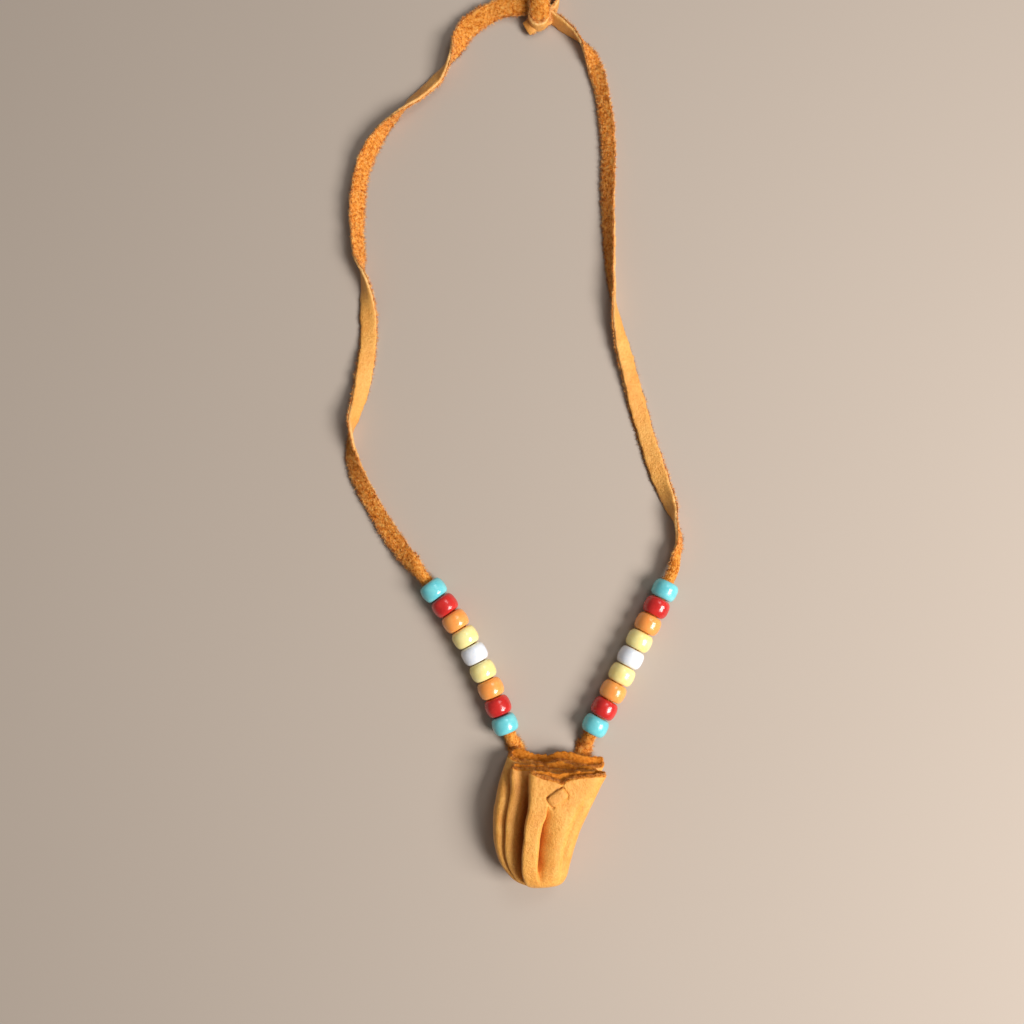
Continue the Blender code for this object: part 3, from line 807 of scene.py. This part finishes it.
# Pleats that lean over the valley beside them: angle of the valley, lean in mm along X, the
# side that leans (1 for the left one), its width in degrees, and (y, share) points.
LIPS = (
    (85.5, 1.0, 1, 4.5, ((-18, 0.0), (-13, 0.6), (-6, 1.0), (2, 0.9), (6, 0.0))),
    (114.0, -0.9, -1, 3.5, ((-20, 0.0), (-15, 0.8), (10, 1.0), (20, 1.0))),
    (143.0, -0.7, -1, 3.5, ((-18, 0.0), (-12, 0.8), (10, 1.0), (20, 1.0))),
)
# How the three front valleys wander: angle of the valley, angles of the ones on its right and
# left, and (y, angle) points.
VALLEY_PATHS = (
    (114.0, 85.5, 143.0, ((-19, 122), (-13, 111), (-5, 106.5), (6, 109), (15, 114))),
    (143.0, 114.0, 205.0, ((-16, 151), (-12, 150), (-4, 144), (7, 144), (16, 143))),
    (85.5, 43.0, 114.0, ((-19, 88), (-13, 88), (-5, 88.5), (0, 88.5), (3, 86.5), (6, 85.5))),
)


def interpolate(y, points):
    return np.interp(y, [p[0] for p in points], [p[1] for p in points])


def dense_stations(per_span=30):
    table = np.array(STATIONS, float)
    mirrored = table[1] * (1, 1, -1, 1, -1)
    table = np.vstack([mirrored, table, 2 * table[-1] - table[-2]])
    return catmull_rom(table, per_span)


def closed_rim():
    """The rim's curve, centripetal Catmull-Rom: (x, y, z, angle) rows."""
    table = np.array(RIM, float)
    wrapped = np.vstack([table[-1:], table, table[:2]])
    wrapped[0, 3] -= 360
    wrapped[-2:, 3] += 360
    rows = []
    for p0, p1, p2, p3 in zip(wrapped, wrapped[1:], wrapped[2:], wrapped[3:]):
        pairs = ((p0, p1), (p1, p2), (p2, p3))
        gaps = [math.sqrt(max(np.linalg.norm((b - a)[:3]), 1e-6)) for a, b in pairs]
        t0, t1 = 0.0, gaps[0]
        t2, t3 = t1 + gaps[1], t1 + gaps[1] + gaps[2]
        step = CREASE_STEP if CREASED[0] < p1[3] < CREASED[1] else RIM_STEP
        count = max(2, round(np.linalg.norm((p2 - p1)[:3]) / step))
        for t in np.linspace(t1, t2, count, endpoint=False):
            a1 = (t1 - t) / (t1 - t0) * p0 + (t - t0) / (t1 - t0) * p1
            a2 = (t2 - t) / (t2 - t1) * p1 + (t - t1) / (t2 - t1) * p2
            a3 = (t3 - t) / (t3 - t2) * p2 + (t - t2) / (t3 - t2) * p3
            b1 = (t2 - t) / (t2 - t0) * a1 + (t - t0) / (t2 - t0) * a2
            b2 = (t3 - t) / (t3 - t1) * a2 + (t - t1) / (t3 - t1) * a3
            rows.append((t2 - t) / (t2 - t1) * b1 + (t - t1) / (t2 - t1) * b2)
    return np.array(rows)


def wrap_angle(angle):
    return (angle + 180) % 360 - 180


def body_point(angle, station):
    """Points of the gathered body below its mouth: angle in degrees, station a row of five."""
    y, middle, half_width, level, half_height = np.moveaxis(station, -1, 0)
    warped = angle.copy()
    for centre, before, after, path in VALLEY_PATHS:
        tent = np.interp(angle % 360, (before, centre, after), (0.0, 1.0, 0.0))
        warped = warped + (interpolate(y, path) - centre) * tent
    radians = np.radians(warped)
    c, s = np.cos(radians), np.sin(radians)
    x = half_width * np.sign(c) * np.abs(c) ** (2 / BODY_POWER)
    z = half_height * np.sign(s) * np.abs(s) ** (2 / BODY_POWER)
    inward = -unit(np.stack([x * 0.75, z], -1))
    depth = np.zeros_like(x)
    for centre, deep, to_right, to_left, flat, shares in VALLEYS:
        away = wrap_angle(angle - centre)
        reach = np.where(away > 0, to_left, to_right)
        depth += deep * interpolate(y, shares) * np.exp(-((np.abs(away) / reach) ** flat))
    room = smooth(half_width / 11.0)
    x = x + inward[..., 0] * depth * room
    z = z + inward[..., 1] * depth * room
    for centre, lean, side, reach, shares in LIPS:
        away = wrap_angle(angle - centre) * side
        over = smooth(away / 0.9) * np.exp(-((away / reach) ** 2))
        x = x + lean * interpolate(y, shares) * over * room
    shelf = smooth((angle % 360 - 111) / 9) * (1 - smooth((angle % 360 - 160) / 30))
    z = z - LEFT_SHELF * shelf * room
    return np.stack([middle + x, y, level + z], -1), depth * room


def pouch_surface():
    """Grid of points in metres, rows from the foot to the rim, and columns round the rim."""
    rim = closed_rim()
    stations = dense_stations()
    station_number = np.arange(len(stations))
    at_rim = np.interp(rim[:, 1], stations[:, 0], station_number)
    share = np.linspace(0.0, 1.0, ROWS + 1)[1:]
    share = share**0.92
    place = share[:, None] * at_rim[None, :]
    station = np.stack(
        [np.interp(place, station_number, stations[:, k]) for k in range(5)], -1
    )
    angle = np.broadcast_to(rim[:, 3], place.shape)
    body, depth = body_point(angle, station)
    folded = smooth((body[..., 1] - (rim[:, 1] - FOLD_LENGTH)) / (FOLD_LENGTH - 1.0))
    down = rim[:, 1] - body[..., 1]
    across = rim[:, 0] + down * interpolate(rim[:, 3], SLANT)
    target = np.stack([across, body[..., 1], np.broadcast_to(rim[:, 2], place.shape)], -1)
    grid = body * (1 - folded[..., None]) + target * folded[..., None]
    # Share of painted shade at each point: more where the valleys are deep, less on the folded mouth.
    crease_shade = smooth((depth - 1.2) / 3.6) * (1 - 0.6 * folded)
    return press_slits(relax(grid)) * MM, crease_shade


def relax(grid, rounds=2):
    """Evens the surface a little, leaving the rim and the foot's first row where they are."""
    for _ in range(rounds):
        around = (np.roll(grid, 1, axis=1) + np.roll(grid, -1, axis=1)) / 2
        upright = grid.copy()
        upright[1:-1] = (grid[:-2] + grid[2:]) / 2
        grid[1:-1] = grid[1:-1] * 0.5 + around[1:-1] * 0.2 + upright[1:-1] * 0.3
    return grid


def press_slits(grid):
    """Presses the leather down along the two slits that the lace goes through at the front."""
    for centre in STITCH_ENDS:
        away = grid[..., :2] - np.array(centre)
        along_lace = np.array(STITCH_ENDS[1]) - np.array(STITCH_ENDS[0])
        along_lace = along_lace / np.linalg.norm(along_lace)
        over = away @ along_lace
        beside = away @ np.array((-along_lace[1], along_lace[0]))
        dent = np.exp(-((over / 0.42) ** 2) - (beside / 1.8) ** 4)
        front = smooth((grid[..., 2] - 14.6) / 1.2)
        grid[..., 2] -= 2.4 * dent * front
    return grid


def build_stitch():
    """The lace where it shows on the front, grain side up, between its two slits."""
    first, last = (np.array((*end, 0.0)) for end in STITCH_ENDS)
    reach = np.linspace(-0.13, 1.13, 44)
    line = (first + (last - first) * reach[:, None]) * MM
    edge = np.minimum(reach, 1 - reach)
    crown = 0.42 * smooth((edge + 0.13) / 0.30)
    tuck = 1.6 * (1 - smooth((edge + 0.13) / 0.17))
    line[:, 2] = (STITCH_LEVEL + crown - tuck) * MM
    _, side, up = side_and_up(line)
    taper = 1 - 0.14 * (1 - smooth(edge / 0.25))
    sections = [lace_section(0.16, STITCH_WIDTH * MM * t, grain_out=True)[0] for t in taper]
    rings = sweep(sections, line, side, up, np.zeros(len(line)))
    verts, faces, face_slots = ring_mesh(rings, SECTION_SLOTS)
    faces = [face[::-1] for face in faces]
    stitch = make_object("lace_front_stitch", verts, faces, LACE_PAINTS, face_slots)
    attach(stitch, ROOT)
    return stitch


CUT_ROWS = 4
CUT_BEVEL = 0.0010
INNER_FOOT_RISE = 0.0016
SEEN_INSIDE = 18


def surface_normals(grid):
    down = np.gradient(grid, axis=0)
    across = (np.roll(grid, -1, axis=1) - np.roll(grid, 1, axis=1)) / 2
    return unit(np.cross(down, across))


def build_pouch():
    """One disc of deerskin gathered up: grain outside, suede inside, and a ragged cut rim."""
    outer, crease_shade = pouch_surface()
    normals = surface_normals(outer)
    outer = outer + normals * (0.00018 * rough(outer, 160, 0) + 0.00008 * rough(outer, 420, 3))[..., None]
    outer[..., 2] = np.maximum(outer[..., 2], 0.0)
    normals = surface_normals(outer)
    for _ in range(4):
        normals = unit(normals + np.roll(normals, 1, axis=1) + np.roll(normals, -1, axis=1))
    below_rim = len(outer) - 1 - np.arange(len(outer))
    thickness = LEATHER_THICKNESS * (1 - 0.7 * smooth((below_rim - 9) / 9))
    inner = outer - normals * thickness[:, None, None]
    up_the_wall = unit(outer[-1] - outer[-3])
    reach = smooth((np.arange(len(outer)) - (len(outer) - 9)) / 8)[:, None, None]
    ragged = 1 + 0.55 * rough(inner[-1], 900, 7)
    inner = inner + up_the_wall * reach * (CUT_BEVEL * ragged)[None, :, None]
    inner = inner - normals * reach * (0.00030 * rough(inner * (0.45, 1.0, 1.0), 900, 5))[..., None]
    cut = []
    for step in range(1, CUT_ROWS + 1):
        share = step / (CUT_ROWS + 1)
        row = outer[-1] * (1 - share) + inner[-1] * share
        bulge = 0.00016 * math.sin(math.pi * share)
        row = row + up_the_wall * (bulge + 0.00055 * rough(row, 1150, 11 + step))[:, None]
        row = row + normals[-1] * (0.00030 * rough(row, 1300, 31 + step))[:, None]
        cut.append(row)
    inner = np.concatenate([inner[6:-SEEN_INSIDE:3], inner[-SEEN_INSIDE:]])
    shell = np.concatenate([outer, np.array(cut), inner[::-1]])
    rows, columns = shell.shape[:2]
    foot = np.array(POUCH_FOOT)
    inner_foot = foot + np.array([0, INNER_FOOT_RISE, 0])
    verts = np.vstack([shell.reshape(-1, 3), foot, inner_foot])
    wall = len(outer)
    faces, slots = [], []
    for r in range(rows - 1):
        slot = 0 if r < wall - 1 else (2 if r < wall + CUT_ROWS else 1)
        for c in range(columns):
            a, b = r * columns + c, r * columns + (c + 1) % columns
            faces.append((b, a, a + columns, b + columns))
            slots.append(slot)
    last = (rows - 1) * columns
    for c in range(columns):
        after = (c + 1) % columns
        faces.append((c, after, rows * columns))
        faces.append((last + after, last + c, rows * columns + 1))
        slots += [0, 1]
    pouch = make_object("pouch_leather", verts, faces, [GRAIN, INNER, CUT], slots)
    # The painted crease-shade share goes on the mesh as a point attribute, read by the grain material.
    crease_shade_values = np.zeros(len(pouch.data.vertices), np.float32)
    crease_shade_values[: crease_shade.size] = crease_shade.ravel()
    pouch.data.attributes.new("crease_shade", "FLOAT", "POINT").data.foreach_set("value", crease_shade_values)
    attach(pouch, ROOT)
    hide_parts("pouch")
    fuzz = make_object("pouch_rim_fuzz", *rim_fuzz(cut, up_the_wall, normals[-1]), [RIM_FIBRE])
    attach(fuzz, ROOT)
    return pouch


def rim_fuzz(cut, up_the_wall, normals):
    """Short loose fibres along the cut rim."""
    draw = np.random.RandomState(77)
    total = RIM_FIBRES
    cut = np.array(cut)
    row, c = draw.randint(0, len(cut), total), draw.randint(0, cut.shape[1], total)
    share = draw.uniform(0, 1, (total, 1))
    roots = cut[row, c] * (1 - share) + cut[row, (c + 1) % cut.shape[1]] * share
    directions = up_the_wall[c] + normals[c] * draw.uniform(-0.5, 0.9, (total, 1))
    directions = directions + draw.uniform(-0.9, 0.9, (total, 3))
    lengths = draw.uniform(0.12, 0.55, total) * MM
    return fibres(roots, directions, lengths, draw.uniform(0.03, 0.06, total) * MM, draw, bent=total // 3)


# ---- The whole bag ---------------------------------------------------------------------------

add_camera()
left, left_fuzz, left_line = build_strand(
    "left", (*LEFT_FROM_KNOT, *LEFT_STRAND, *LEFT_INTO_POUCH), LEFT_ROLL, LEFT_WIDTH, 11
)
right, right_fuzz, right_line = build_strand(
    "right", (*RIGHT_FROM_KNOT, *RIGHT_STRAND, *RIGHT_INTO_POUCH), RIGHT_ROLL, RIGHT_WIDTH, 23
)
left_beads = [build_bead("left", n, 100 + n) for n in range(1, 10)]
right_beads = [build_bead("right", n, 200 + n) for n in range(1, 10)]
build_knot()
pouch = build_pouch()
build_stitch()
add_floor()
add_light()
bpy.context.scene.view_settings.view_transform = "Standard"
